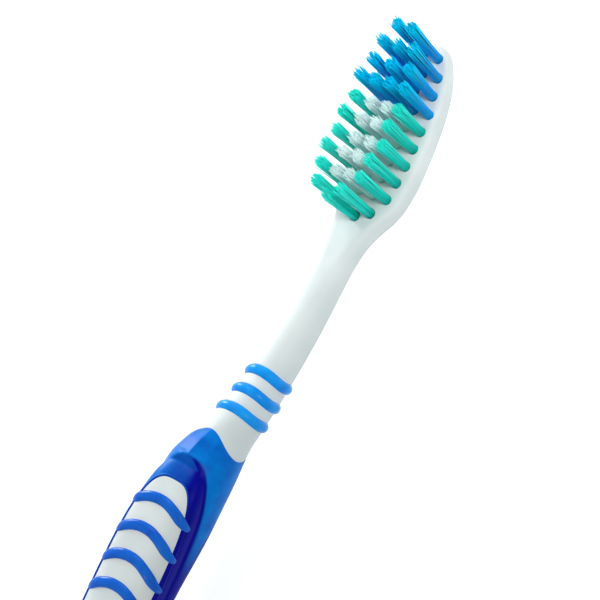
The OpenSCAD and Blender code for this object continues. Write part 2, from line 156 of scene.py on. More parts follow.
# %% [markdown]
# Between two stations the curve is a cubic with a slope at each end. The slope is the harmonic
# mean of the two neighbouring rates, and zero at a peak, which is what keeps it from swinging
# past a station as a plain spline would. Each section is a superellipse: its squareness says how
# full its corners are, 2 for an ellipse and more for a rounded box.

# %% Curve through the stations
def curve(keys, at):
    """Columns of keys at the distances in at, on a smooth curve through every key."""
    x, values = keys[:, 0], keys[:, 1:]
    step = np.diff(x)
    rate = np.diff(values, axis=0) / step[:, None]
    before, after = rate[:-1], rate[1:]
    same_way = before * after > 0
    slope = np.concatenate([
        rate[:1], np.where(same_way, 2 * before * after / np.where(same_way, before + after, 1), 0),
        rate[-1:]])
    at = np.asarray(at, float)
    i = np.clip(np.searchsorted(x, at, side="right") - 1, 0, len(x) - 2)
    h = step[i][..., None]
    u = (at - x[i])[..., None] / h
    return (values[i] * (1 + 2 * u) * (1 - u) ** 2 + slope[i] * h * u * (1 - u) ** 2
            + values[i + 1] * u ** 2 * (3 - 2 * u) + slope[i + 1] * h * u ** 2 * (u - 1))


def section(at):
    """Half width, back, front, squareness of the front and of the back."""
    return np.moveaxis(curve(BODY_KEYS, at), -1, 0)


def reach(half, back, front, square_front, square_back, angle):
    """How far a section reaches from its middle at an angle, 0 at +Y and 90 degrees in front."""
    square = np.where(np.sin(angle) >= 0, square_front, square_back)
    tall = (front - back) / 2
    return (np.abs(np.cos(angle) / half) ** square
            + np.abs(np.sin(angle) / tall) ** square) ** (-1 / square)


print("width at the pad:", round(2 * section(PAD_AT)[0].item(), 2), "mm")

# %% [markdown]
# The soft grip's edges run in a wave: they bow to the head at the front and back of the handle.
# A ring of the loft takes a share of that wave, none far from the edge and all of it at the
# edge, so that the edge itself is a clean line of the mesh.

# %% Rings of the loft
SIDES = 180


def around(count):
    """Angles of a number of points spread evenly round a circle."""
    return np.arange(count) * 2 * math.pi / count


ANGLES = around(SIDES)


def wave_share(at):
    """1 at the grip's two edges, and 0 from twice the edge span on."""
    nearest = np.minimum(np.abs(at - GRIP_AT), np.abs(at - TAIL_AT))
    return np.clip(1 - nearest / (2 * EDGE_SPAN), 0, 1)


def ring_distances(at):
    """Distance from the tip of each point of the rings at the distances in at."""
    half, back, front, square_front, square_back = (v[:, None] for v in section(at))
    r = reach(half, back, front, square_front, square_back, ANGLES)
    square = np.where(np.sin(ANGLES) >= 0, square_front, square_back)
    tall = (front - back) / 2
    wave = np.abs(r * np.sin(ANGLES) / tall) ** square - np.abs(r * np.cos(ANGLES) / half) ** square
    way = np.where(at < PAD_AT, -1, 1)[:, None]
    return at[:, None] + wave_share(at)[:, None] * way * GRIP_WAVE * wave


print("points in a ring:", SIDES)

# %% [markdown]
# Ahead of the thumb pad the grip isn't round: two flat facets meet in a soft ridge, and they
# split the light into a pale and a deep blue. A facet could be cut with a plane, but here the
# same reach is simply held under two sloping lines, and a smooth share lets the facets fade in
# from the neck and end at the pad.

# %% Soft ridge ahead of the pad
RIDGE_SLOPE, RIDGE_UP = 0.36, 0.02
RIDGE_LEAD, RIDGE_FADE, RIDGE_END = 3.5, 4.5, 0.8


def smooth_step(x):
    """0 below 0 and 1 above 1, with a soft change between them."""
    x = np.clip(x, 0, 1)
    return x * x * (3 - 2 * x)


def ridged(r, d, middle, front):
    """Two flat facets that meet in a soft ridge, just ahead of the thumb pad."""
    fade_in = smooth_step((d - GRIP_AT + RIDGE_LEAD) / RIDGE_FADE)
    share = fade_in * smooth_step((GRIP_AT + PAD_FROM - d) / RIDGE_END)
    up = np.maximum(np.sin(ANGLES), RIDGE_UP)
    facet = np.minimum(r, (front - middle) / (up + RIDGE_SLOPE * np.abs(np.cos(ANGLES))))
    return np.where(np.sin(ANGLES) > 0, r + (facet - r) * share, r)


print("facet slope:", round(math.degrees(math.atan(RIDGE_SLOPE))), "degrees")

# %% [markdown]
# One function now gives both skins of the handle. The outer skin is what the hand feels. The
# inner one lies under the soft layer, set back by its wall at the sides and by more under the
# pad, so that the white core and the blue grip share one surface where they meet.

# %% Outer and inner skin
FLAT_POWER = 4


def under_pad(d):
    """1 in the middle of the pad's length, and 0 beyond its ends."""
    return np.maximum(0, 1 - ((d - PAD_AT) / (PAD_LEN / 2 + BORDER_END)) ** FLAT_POWER)


def rings(at, inner=False, inset=0.0):
    """Points of the rings in millimetres, the outer surface or the one under the grip."""
    d = ring_distances(at)
    half, back, front, square_front, square_back = section(d)
    if inner:
        half = half - GRIP_WALL
        back = back + GRIP_WALL
        front = front - GRIP_WALL - (FRONT_WALL - GRIP_WALL) * under_pad(d)
    middle = (back + front) / 2
    r = reach(half, back, front, square_front, square_back, ANGLES)
    r = r - inset if inner else ridged(r, d, middle, front) - inset
    return np.stack([TIP - d, r * np.cos(ANGLES), middle + r * np.sin(ANGLES)], axis=-1)


print("skin at the grip's edge:", rings(np.array([GRIP_AT])).shape[1], "points")

# %% [markdown]
# Rings of points become faces in one way for every piece: a quad between each two neighbours on
# two neighbouring rings. Which way such a quad looks depends on the order of its points, so all
# faces of a closed form are turned outwards afterwards. They are shaded smooth, and only an edge
# sharper than a given angle stays crisp, as on a moulding whose edges have a small radius.

# %% From rings to a mesh
SHARP = 40


def in_scene(name, data):
    """A new object with the data, linked to the scene."""
    thing = bpy.data.objects.new(name, data)
    bpy.context.scene.collection.objects.link(thing)
    return thing


def clean_form(mesh, sharp=SHARP, join=0.0):
    """Joins points closer than join metres, turns faces outwards and shades all but sharp edges."""
    form = bmesh.new()
    form.from_mesh(mesh)
    if join:
        bmesh.ops.dissolve_degenerate(form, dist=join, edges=form.edges)
        bmesh.ops.remove_doubles(form, verts=form.verts, dist=join)
    bmesh.ops.recalc_face_normals(form, faces=form.faces)
    form.to_mesh(mesh)
    form.free()
    mesh.shade_smooth()
    mesh.set_sharp_from_angle(angle=math.radians(sharp))


def mesh_piece(name, points, faces, sharp=SHARP):
    """A mesh object from points in millimetres, shaded smooth but for edges over an angle."""
    mesh = bpy.data.meshes.new(name)
    mesh.from_pydata((np.asarray(points).reshape(-1, 3) * MM).tolist(), [], faces)
    clean_form(mesh, sharp)
    return in_scene(name, mesh)


def tube_faces(ring_count, sides, first=0, joined=False):
    """Quads between rings of points, the last ring joined to the first if asked."""
    quads = []
    for k in range(ring_count if joined else ring_count - 1):
        a, b = first + k * sides, first + (k + 1) % ring_count * sides
        quads += [(a + i, a + (i + 1) % sides, b + (i + 1) % sides, b + i) for i in range(sides)]
    return quads


def capped_tube(ring_count, sides, first):
    """Quads between rings of points, with one face over each end."""
    last = first + (ring_count - 1) * sides
    return tube_faces(ring_count, sides, first) + [
        tuple(first + i for i in reversed(range(sides))), tuple(last + i for i in range(sides))]


def closed_loft(name, ring_points, sharp=SHARP):
    """A closed solid through rings, with a fan of triangles at each end."""
    count, sides = ring_points.shape[:2]
    points = np.concatenate([
        ring_points.reshape(-1, 3), ring_points[:1].mean(axis=1), ring_points[-1:].mean(axis=1)])
    faces = tube_faces(count, sides)
    head, tail = count * sides, count * sides + 1
    last = (count - 1) * sides
    faces += [(head, (i + 1) % sides, i) for i in range(sides)]
    faces += [(tail, last + i, last + (i + 1) % sides) for i in range(sides)]
    return mesh_piece(name, points, faces, sharp)


print("quads in a tube of 3 rings:", len(tube_faces(3, SIDES)))

# %% [markdown]
# The tufts stand in ten rows. Four rows at the tip are blue and lie across the head, the next
# ones pair a turquoise tuft at each side with milky ones between them, and three turquoise tufts
# close the heel. A table gives each row its outer and inner tufts as shares of the half width,
# with -1 for no inner tuft and 0 for one in the middle, and its height as a share of the
# bristles', because the brush is trimmed to a gentle curve. All as in the construction.

# %% Places of the tufts
ROW_SHARES = [
    (0.219, -1, 1.07), (0.451, 0, 1.025), (0.542, 0, 0.97), (0.661, 0.22, 0.985),
    (0.661, 0.22, 0.88), (0.679, 0.225, 0.955), (0.692, 0.23, 0.88),
    (0.664, 0.22, 1.01), (0.61, 0.205, 0.975), (0.361, -1, 1.085)]
TIP_ROWS = 4
HEEL_ROW = len(ROW_SHARES) - 1
HEEL_BACK_SHARE = 0.42


def tuft_list():
    """Name, distance from the tip, place across, free length and kind of each tuft."""
    found = []
    for row, (outer, inner, tall) in enumerate(ROW_SHARES):
        d = FIRST_ROW + row * ROW_PITCH
        edge = "tip" if row < TIP_ROWS else "heel" if row == HEEL_ROW else "side"
        middle = edge if edge != "side" else "inner"
        free = tall * BRISTLE_H
        low = free if row < TIP_ROWS else free - INNER_DROP
        y, q = outer * HEAD_W / 2, inner * HEAD_W / 2
        between = [] if inner < 0 else [0.0] if inner == 0 else [-q, q]
        places = [(edge, -y, free), (edge, y, free)] + [(middle, at, low) for at in between]
        for column, (kind, across, length) in enumerate(places):
            found.append((f"{kind}_tuft_{row + 1}_{column + 1}", d, across, length, kind))
    back = FIRST_ROW + (HEEL_ROW + HEEL_BACK_SHARE) * ROW_PITCH
    return found + [(f"heel_tuft_{HEEL_ROW + 1}_3", back, 0.0, BRISTLE_H, "heel")]


TUFTS = tuft_list()
print("tufts:", len(TUFTS), "in", len(ROW_SHARES), "rows")

# %% [markdown]
# The white core is one moulding from the tip of the head to the tail. It is lofted through rings
# that stand close together at the two rounded ends, where the outline turns fastest. Under the
# grip it steps back by the soft layer, and a narrow parting line shows where the two shots of
# the moulding meet. The back is pressed flat where the brush lies on the table.

# %% Rings of the white core
PARTING, PARTING_HALF, EDGE_CLEAR = 0.1, 0.15, 0.4
TIP_ROUND, TIP_END, TAIL_ROUND, TAIL_END, ROUND_RINGS = 4, 4.5, 3.6, 4, 18
CORE_STEP, BORE_STEP = 0.6, 1.5


def spaced(start, end, step):
    """Distances from start to end, about a step apart."""
    return np.linspace(start, end, max(2, int(round(abs(end - start) / step)) + 1))


def core_rings():
    """Rings of the core: outer skin, parting, inner skin under the grip, and the tail."""
    quarter = np.linspace(0, math.pi / 2, ROUND_RINGS)
    before = np.concatenate([
        TIP_ROUND * (1 - np.cos(quarter)), spaced(TIP_END, GRIP_AT - EDGE_CLEAR, CORE_STEP),
        [GRIP_AT - PARTING_HALF]])
    after = np.concatenate([
        [TAIL_AT + PARTING_HALF], spaced(TAIL_AT + EDGE_CLEAR, BRUSH_LEN - TAIL_END, CORE_STEP),
        BRUSH_LEN - TAIL_ROUND * (1 - np.sin(quarter))])
    ring_points = np.concatenate([
        rings(before), rings(np.array([GRIP_AT]), inset=PARTING),
        rings(spaced(GRIP_AT, TAIL_AT, BORE_STEP), inner=True),
        rings(np.array([TAIL_AT]), inset=PARTING), rings(after)])
    ring_points[..., 2] = np.maximum(ring_points[..., 2], 0)
    return ring_points


core = closed_loft("white_core", core_rings())
print("core before drilling:", len(core.data.polygons), "faces")

# %% [markdown]
# The tufts stand in drilled blind holes with a small lead-in at the mouth, which catches a dark
# line round each root. The holes are cut with one boolean, because 35 cutters joined in one mesh
# are quicker than 35 cuts. The result is baked into the mesh, so no modifier is left on it, and
# the slivers that a boolean leaves, thinner than 0.002 mm, are joined away.

# %% Drill the tuft holes
HOLE_SIDES, SLIVER = 32, 0.002
LEAD_IN, LEAD_DEPTH, LEAD_TOP, CUTTER_TOP = 0.14, 0.12, 0.02, 1


def hole_cutter():
    """One mesh with a cylinder for each tuft hole, with a small lead-in at the mouth."""
    hole, mouth = HOLE_D / 2, HOLE_D / 2 + LEAD_IN
    levels = [(HEAD_T - HOLE_DEPTH, hole), (HEAD_T - LEAD_DEPTH, hole),
              (HEAD_T + LEAD_TOP, mouth), (HEAD_T + CUTTER_TOP, mouth)]
    points, faces = [], []
    for _, d, y, _, _ in TUFTS:
        faces += capped_tube(len(levels), HOLE_SIDES, len(points))
        points += [(TIP - d + r * math.cos(a), y + r * math.sin(a), z)
                   for z, r in levels for a in around(HOLE_SIDES)]
    return mesh_piece("tuft_hole_cutter", points, faces)


def cut(piece, cutter):
    """Takes the cutter's space out of the piece, and then removes the cutter."""
    modifier = piece.modifiers.new("cut", "BOOLEAN")
    modifier.operation, modifier.solver, modifier.object = "DIFFERENCE", "EXACT", cutter
    result = bpy.data.meshes.new_from_object(
        piece.evaluated_get(bpy.context.evaluated_depsgraph_get()))
    piece.modifiers.remove(modifier)
    piece.data = result
    clean_form(result, join=SLIVER * MM)
    bpy.data.objects.remove(cutter)


cut(core, hole_cutter())
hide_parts("handle_core")
print("core:", len(core.data.polygons), "faces,", len(TUFTS), "tuft holes")

# %% [markdown]
# The grip is the piece that takes the most skill. Its surface is the body's own surface, with a
# shallow dish sunk in the front and a dome rising out of the dish. It could be built from
# booleans, but a moulding has no knife edges, so each point is worked out along a ray from the
# middle of the section, and the three forms are blended with a small radius.

# %% Thumb pad forms
LEAST, HALVINGS, TINY = 0.05, 32, 1e-6


def oval(share, square=PAD_SQUARE):
    """Half width of an oval as a share of its greatest, for -1 to 1 along the oval."""
    return np.maximum(0, 1 - np.abs(share) ** square) ** (1 / square)


def dome_size(d):
    """Half width and height of the dome at a distance from the tip."""
    share = np.clip((d - PAD_AT) / (PAD_LEN / 2), -1, 1)
    return PAD_W / 2 * oval(share), PAD_RISE * oval(share, PAD_END_SQUARE)


def dome_height(d, y):
    """Height of the dome above the table at a distance from the tip and a place across."""
    wide, tall = dome_size(d)
    return PAD_FOOT + tall * oval(np.clip(np.abs(y) / np.maximum(wide, TINY), 0, 1))


def dome_reach(d, middle, angle):
    """How far the dome reaches along a ray from the middle of the section, by halving."""
    wide, tall = dome_size(d)
    inside = (wide > LEAST) & (tall > LEAST)
    wide, tall = np.maximum(wide, LEAST), np.maximum(tall, LEAST)
    low, high = np.zeros_like(d), np.full_like(d, GRIP_W)
    for _ in range(HALVINGS):
        r = (low + high) / 2
        across = np.abs(r * np.cos(angle)) / wide
        up = np.maximum(0, middle + r * np.sin(angle) - PAD_FOOT) / tall
        out = across ** PAD_SQUARE + up ** PAD_SQUARE > 1
        high, low = np.where(out, r, high), np.where(out, low, r)
    return np.where(inside & (np.sin(angle) > 0), low, 0)


dome_top = dome_height(np.array([PAD_AT]), 0.0).item()
print("dome:", PAD_LEN, "x", PAD_W, "mm, top at", round(dome_top, 2), "mm")

# %% [markdown]
# The dish is deepest at its sides and shallow at its two ends, where the pad runs out into the
# ridge. Its rim is a smooth step a third of a millimetre wide, and the dome meets it in a fillet
# of a fifth of a millimetre. These small radii are what the eye reads as soft plastic: with hard
# edges the same forms look like metal.

# %% Surface of the soft grip
BLEND, DISH_SOFT, LIP = 0.22, 0.35, 0.3
END_DEPTH, END_FROM, END_SPAN = 0.1, 0.8, 0.15
LEAST_UP = 0.05


def soft_max(a, b, k):
    """The larger of two values, with a rounded change from one to the other."""
    share = np.clip(0.5 + 0.5 * (a - b) / k, 0, 1)
    return b + (a - b) * share + k * share * (1 - share)


def grip_surface(at):
    """Outer points of the grip: body, less the dish, with the dome."""
    d = ring_distances(at)
    half, back, front, square_front, square_back = section(d)
    middle = (back + front) / 2
    angle = np.broadcast_to(ANGLES, d.shape)
    body = ridged(reach(half, back, front, square_front, square_back, angle), d, middle, front)
    up = np.maximum(np.sin(angle), LEAST_UP)
    share = np.clip((d - PAD_AT) / (PAD_LEN / 2 + PAD_GAP), -1, 1)
    rim = (PAD_W / 2 + PAD_GAP) * oval(share)
    low = PAD_FOOT - DISH_DEPTH
    to_end = smooth_step((np.abs(share) - END_FROM) / END_SPAN)
    depth = DISH_DEPTH + (END_DEPTH - DISH_DEPTH) * to_end
    floor = low + (front - depth - low) * share ** FLAT_POWER
    to_floor = np.maximum(0, body - (floor - middle) / up) * (np.sin(angle) > 0)
    dished = body - to_floor * smooth_step((rim - np.abs(body * np.cos(angle))) / DISH_SOFT)
    r = soft_max(dished, dome_reach(d, middle, angle), BLEND)
    from_edge = np.minimum(at - GRIP_AT, TAIL_AT - at)[:, None]
    r = r - PARTING * (1 - smooth_step(from_edge / LIP))
    return np.stack([TIP - d, r * np.cos(angle), middle + r * np.sin(angle)], axis=-1)


print("fillet:", BLEND, "mm, dish rim:", DISH_SOFT, "mm")

# %% [markdown]
# The grip is a sleeve, so its rings run along the outside and back through the bore, and the
# last ring joins the first. The rings stand 0.2 mm apart over the pad, where the form changes
# fastest, and wider over the plain rest, to spend the faces where they show.

# %% Soft grip
LIP_RINGS = np.array([0, 0.08, 0.17, 0.3, 0.5])
LIP_END, PAD_LEAD, PAD_TRAIL = 0.8, 2.5, 2
NEAR_STEP, PAD_STEP, REST_STEP = 0.3, 0.2, 0.5


def grip_rings():
    """Rings of the sleeve, out along the surface and back through the bore."""
    pad_start, pad_end = GRIP_AT + PAD_LEAD, GRIP_AT + PAD_FROM + PAD_LEN + PAD_TRAIL
    at = np.concatenate([
        GRIP_AT + LIP_RINGS, spaced(GRIP_AT + LIP_END, pad_start, NEAR_STEP),
        spaced(pad_start + PAD_STEP, pad_end, PAD_STEP),
        spaced(pad_end + REST_STEP, TAIL_AT - LIP_END, REST_STEP), TAIL_AT - LIP_RINGS[::-1]])
    bore = rings(spaced(TAIL_AT, GRIP_AT, BORE_STEP), inner=True)
    return np.concatenate([grip_surface(at), bore])


SOFT_SHARP = 50
grip_points = grip_rings()
grip = mesh_piece(
    "soft_grip", grip_points, tube_faces(*grip_points.shape[:2], joined=True), SOFT_SHARP)
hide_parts("grip_overmould")
print("grip:", len(grip.data.polygons), "faces")

# %% [markdown]
# The white window is the core showing through the pad. It could be a hole cut in the grip, but
# the cut would leave a ragged line in the mesh. It is made as a patch in its own oval
# coordinates, so that its outline is one smooth line, and its rim turns down into the soft pad.

# %% White window
WINDOW_LEN = PAD_LEN - 2 * BORDER_END
WINDOW_SHIFT = 0.3
WINDOW_W = PAD_W - 2 * BORDER_SIDE - 2 * WINDOW_SHIFT
WINDOW_PROUD, WINDOW_DEEP, WINDOW_MIDDLE = 0.04, 1.2, 0.01
RIM_AT, RIM_LIFT = 0.997, 0.8
WINDOW_POINTS, WINDOW_RINGS = 192, 46


def superellipse(turn, square):
    """Cosine and sine of an angle, bent so that they draw a superellipse."""
    cos, sin, power = np.cos(turn), np.sin(turn), 2 / square
    return np.sign(cos) * np.abs(cos) ** power, np.sign(sin) * np.abs(sin) ** power


def window_edge(count, share=1.0, out=0.0):
    """Distances from the tip and places across of the window's outline, shrunk or moved out."""
    along, across = superellipse(np.linspace(0, 2 * math.pi, count, endpoint=False), PAD_SQUARE)
    return (PAD_AT - share * ((WINDOW_LEN / 2 + out) * along),
            share * ((WINDOW_W / 2 + out) * across) - WINDOW_SHIFT)


def on_dome(d, y, lift=0.0):
    """Points a little above the dome, at distances from the tip and places across."""
    return np.stack([TIP - d, y, dome_height(d, y) + lift], axis=-1)


def window_points():
    """Rings of the window, from its middle to its rim and down into the pad."""
    shares = np.sin(np.linspace(WINDOW_MIDDLE, 1, WINDOW_RINGS) * math.pi / 2)
    levels = [(share, WINDOW_PROUD) for share in shares[:-1]]
    levels += [(RIM_AT, WINDOW_PROUD * RIM_LIFT), (1, -WINDOW_PROUD)]
    levels += [(share, -WINDOW_DEEP) for share in (1, 0.5, WINDOW_MIDDLE)]
    rows = [on_dome(*window_edge(WINDOW_POINTS, share), lift) for share, lift in levels]
    return np.array(rows)[:, ::-1]


window = closed_loft("thumb_window", window_points(), SOFT_SHARP)
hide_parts("handle_core")
print("window:", round(WINDOW_LEN, 1), "x", round(WINDOW_W, 1), "mm")

# %% [markdown]
# Soft plastic that closes against a hard insert in the mould leaves a thin rolled bead along the
# line. Here it is a round bar that follows the window's outline. It is almost buried at most
# places and prouder on the side of +Y, where a fine blue line frames the white.

# %% Bead round the window
BEAD_R, BEAD_PROUD, BEAD_LOW, BEAD_OUT = 0.34, 0.3, 0.08, 0.8
BEAD_POINTS, BEAD_SIDES, NUDGE = 240, 12, 0.03


def unit(vectors):
    """The vectors at length 1."""
    return vectors / np.linalg.norm(vectors, axis=1)[:, None]


def loop_way(path):
    """Direction of a closed path at each of its points."""
    return np.roll(path, -1, axis=0) - np.roll(path, 1, axis=0)


def round_bar(name, path, normal, side, radius, sides):
    """A round bar along a closed path, from the path's normals and sides."""
    q = around(sides)[None, :, None]
    bar = path[:, None] + radius * (np.cos(q) * normal[:, None] + np.sin(q) * side[:, None])
    return mesh_piece(name, bar, tube_faces(*bar.shape[:2], joined=True))


def window_bead():
    """Thin round bead of the soft layer, a little proud of the window's edge."""
    path = on_dome(*window_edge(BEAD_POINTS, out=BEAD_R * BEAD_OUT))
    side = unit(on_dome(*window_edge(BEAD_POINTS, out=BEAD_R * BEAD_OUT + NUDGE)) - path)
    normal = unit(np.cross(loop_way(path), side))
    normal *= np.sign(normal[:, 2:3])
    share = np.maximum(path[:, 1:2], 0) / path[:, 1].max()
    proud = BEAD_LOW + (BEAD_PROUD - BEAD_LOW) * share ** 2
    path = path - (BEAD_R - proud) * normal
    return round_bar("window_bead", path, normal, side, BEAD_R, BEAD_SIDES)


bead = window_bead()
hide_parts("grip_overmould")
print("bead:", len(bead.data.polygons), "faces")

# %% [markdown]
# The seven ribs are bars that follow the dome. Each is swept: a small profile is set square to
# its path and upright on the surface, full on top and shallower at its root, which is sunk in
# the pad. A curve object with a bevel would do nearly the same, but its profile can't change its
# height and width apart from each other along the path.

# %% Swept bars
BAR_SIDES = 18
LENGTHWISE = [1.0, 0.0, 0.0]


def normal_across(points_at, turn, step):
    """Normals of a line across the brush, from its points a small turn to either side."""
    return unit(np.cross(points_at(turn + step) - points_at(turn - step), LENGTHWISE))


def sweep(path, up, widths, heights, root):
    """Rings of a bar along a path, full on top and with a shallower root."""
    along = unit(np.gradient(path, axis=0))
    side = unit(np.cross(along, up))
    top = np.cross(side, along)
    q = around(BAR_SIDES)
    lift = np.where(np.cos(q) >= 0, heights[:, None] * np.cos(q), root * np.cos(q))
    out = widths[:, None] / 2 * np.sin(q)
    return path[:, None] + lift[..., None] * top[:, None] - out[..., None] * side[:, None]


print("points in a bar's profile:", BAR_SIDES)

# %% [markdown]
# The ribs give the thumb its hold. They bow towards the tail at both sides, stand half a
# millimetre proud, and taper and dive into the pad's flanks at their ends. The path runs across
# the dome from side to side, and the dome's own normal keeps the bar upright on it.

# %% Ribs over the window
RIB_POINTS, RIB_FLANK, RIB_TAPER = 72, 7, 42
RIB_END_W, RIB_END_OUT, RIB_STEP = 0.25, 0.1, 0.01


def rib_path(middle_d):
    """Points on the dome from +Y to -Y, the dome's normal there, and how full the rib is."""
    t = np.radians(np.linspace(RIB_FLANK, 180 - RIB_FLANK, RIB_POINTS))
    y = dome_size(np.full_like(t, middle_d))[0] * superellipse(t, PAD_SQUARE)[0]
    d = middle_d + RIB_BOW * (2 * y / PAD_W) ** 2
    wide, tall = dome_size(d)

    def over_dome(turn):
        """Points on the dome along the rib's bow, at an angle on the dome's section."""
        across, up = superellipse(turn, PAD_SQUARE)
        return np.stack([TIP - d, wide * across, PAD_FOOT + tall * up], axis=-1)

    normal = normal_across(over_dome, t, RIB_STEP)
    normal *= np.sign(normal[:, 2:3])
    full = np.clip(np.minimum(t - t[0], t[-1] - t) / math.radians(RIB_TAPER), 0, 1)
    return over_dome(t), normal, np.sqrt(full)


ribs = []
for k in range(RIB_COUNT):
    path, normal, full = rib_path(PAD_AT + RIB_PITCH * (k - (RIB_COUNT - 1) / 2))
    widths = RIB_T * (RIB_END_W + (1 - RIB_END_W) * full)
    heights = RIB_OUT * (RIB_END_OUT + (1 - RIB_END_OUT) * full)
    bar = sweep(path, normal, widths, heights, RIB_ROOT)
    ribs.append(closed_loft(f"thumb_rib_{k + 1}", bar, SOFT_SHARP))
    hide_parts("grip_overmould")
print("ribs:", len(ribs))

# %% [markdown]
# Three soft rings lie in grooves round the neck, where a finger rests. Their line repeats the
# wave of the grip's edge. They are closed bars of a round profile, as the bead is, and stand
# 0.6 mm out of the neck.

# %% Neck rings
RING_COUNT, RING_POINTS, RING_SIDES, RING_STEP = 3, 120, 24, 0.02


def neck_ring(number):
    """A round bar in its groove, all round the neck."""
    def on_neck(turn):
        """Points on the neck along the ring's bowed line."""
        bow = RING_BOW * np.maximum(0, np.sin(turn)) ** 2
        d = GRIP_AT - RING_GAP - (RING_COUNT - number) * RING_PITCH - bow
        half, back, front, square_front, square_back = section(d)
        across, up = superellipse(turn, np.where(np.sin(turn) >= 0, square_front, square_back))
        return np.stack([
            TIP - d, half * across, (back + front) / 2 + (front - back) / 2 * up], axis=-1)

    t = np.linspace(0, 2 * math.pi, RING_POINTS, endpoint=False)
    path = on_neck(t)
    normal = normal_across(on_neck, t, RING_STEP)
    normal *= np.sign(((path - path.mean(axis=0)) * normal).sum(axis=1))[:, None]
    path = path - (RING_T / 2 - RING_OUT) * normal
    side = unit(np.cross(unit(loop_way(path)), normal))
    piece = round_bar(f"soft_ring_{number}", path, normal, -side, RING_T / 2, RING_SIDES)
    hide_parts(f"neck_ring_{number}")
    return piece


neck_rings = [neck_ring(number) for number in range(1, RING_COUNT + 1)]
print("neck rings:", len(neck_rings))

# %% [markdown]
# A tuft is a bundle of nylon filaments, folded over its anchor and pressed in its hole. A real
# filament is 0.15 to 0.2 mm thick, so 0.17 mm is used, which still shows as a fine streak. They
# could be a hair system, but that isn't part of an exported model, so each is a thin tube. In
# the hole they pack in staggered rows, 0.87 of a filament's step apart.

# %% Filaments packed in a hole
FILAMENT_R, PACK_STEP, STAGGER = 0.085, 0.19, 0.87


def packed_places(radius):
    """Places of filaments packed in a hole, in staggered rows."""
    rows = int(radius / (PACK_STEP * STAGGER)) + 1
    grid = [((i + 0.5 * (j % 2)) * PACK_STEP, j * PACK_STEP * STAGGER)
            for j in range(-rows, rows + 1) for i in range(-rows - 1, rows + 2)]
    return np.array([place for place in grid if np.hypot(*place) <= radius])


PLACES = packed_places(HOLE_D / 2 - FILAMENT_R)
print("filaments in a tuft:", len(PLACES))

# %% [markdown]
# Out of the hole the filaments lean apart, so the cut ends make a wider, stippled top, and the
# whole tuft leans a few degrees to the tip. A seeded random number gives each filament its own
# lean and length, so that the top isn't a flat disc and is the same in every run.

# %% Tufts
TIP_LEAN, SIDE_LEAN, SPREAD_SHARE, SPREAD_CURVE = 5.2, 3.6, 1.4, 1.35
PLACE_VARIES, SPREAD_VARIES, TOP_VARIES, LENGTH_VARIES = 0.012, 0.06, 0.08, 0.19
TRIM, EDGE_TRIM, EDGE_CURVE = 0.06, 0.25, 3
IN_HOLE, END_ROUND, END_SHARE = 0.9, 0.05, 0.45
FILAMENT_SIDES, FILAMENT_LEVELS, FILAMENT_SHARP, SEED = 6, 7, 60, 7
random = np.random.default_rng(SEED)


def tuft(name, d, y, free, kind):
    """All filaments of one tuft in one mesh."""
    lean = math.tan(math.radians(TIP_LEAN if kind == "tip" else SIDE_LEAN))
    points, faces = [], []
    for place in PLACES:
        base = place + random.normal(0, PLACE_VARIES, 2)
        top = base * SPREAD_SHARE * (1 + random.normal(0, SPREAD_VARIES))
        top = top + random.normal(0, TOP_VARIES, 2)
        tall = free - TRIM + random.normal(0, LENGTH_VARIES)
        tall -= EDGE_TRIM * (np.hypot(*place) / (HOLE_D / 2)) ** EDGE_CURVE
        faces += capped_tube(FILAMENT_LEVELS + 1, FILAMENT_SIDES, len(points))
        heights = np.append(np.linspace(-IN_HOLE, tall - END_ROUND, FILAMENT_LEVELS), tall)
        for k, h in enumerate(heights):
            up = max(0, h)
            x, across = base + (top - base) * (up / free) ** SPREAD_CURVE
            x += lean * up
            r = FILAMENT_R * (1 if k < FILAMENT_LEVELS else END_SHARE)
            points += [(TIP - d + x + r * math.cos(a), y + across + r * math.sin(a), HEAD_T + h)
                       for a in around(FILAMENT_SIDES)]
    piece = mesh_piece(name.replace("tuft", "filaments"), points, faces, FILAMENT_SHARP)
    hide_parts(name)
    return piece


tufts = {entry[0]: tuft(*entry) for entry in TUFTS}
print("tufts:", len(tufts), "and filaments:", len(tufts) * len(PLACES))

# %% [markdown]
# Now the finishes. A colour is written as an sRGB hex value, as a colour picker shows it, and
# one function turns it to the linear values that a shader counts in, by the sRGB standard's
# curve. Another adds a node with its settings and links, so that each material below reads as a
# short list of what it is.

# %% Colour and node helpers
def linear(hex_colour):
    """An sRGB colour such as #0a63c8 as linear RGBA."""
    values = [int(hex_colour[i:i + 2], 16) / 255 for i in (1, 3, 5)]
    return [v / 12.92 if v <= 0.04045 else ((v + 0.055) / 1.055) ** 2.4 for v in values] + [1.0]


def set_inputs(tree, node, inputs):
    """Puts values or links on a node's inputs."""
    for name, value in inputs.items():
        if isinstance(value, bpy.types.NodeSocket):
            tree.links.new(value, node.inputs[name])
        else:
            node.inputs[name].default_value = value


def add_node(tree, kind, inputs=None, **settings):
    """A node with its settings, and with values or links on its inputs."""
    node = tree.nodes.new(kind)
    for name, value in settings.items():
        setattr(node, name, value)
    set_inputs(tree, node, inputs or {})
    return node


print("mid grey #808080 is", round(linear("#808080")[0], 3), "in linear light")

# %% [markdown]
# Every material here starts as an empty tree with one Principled shader. The noise textures are
# placed in object coordinates, which are metres on this object, so a pattern's scale follows
# from its real size: 1 divided by the size in metres gives one feature for each such length. Each
# finish ends alike, with a colour, a roughness that a pattern moves between two values, and a
# shallow relief from a pattern, so one function brings these three to the shader.

# %% A fresh material and the scale of a pattern
def empty_tree(holder):
    """The node tree of a material or a world, with no node in it."""
    holder.use_nodes = True
    holder.node_tree.nodes.clear()
    return holder.node_tree


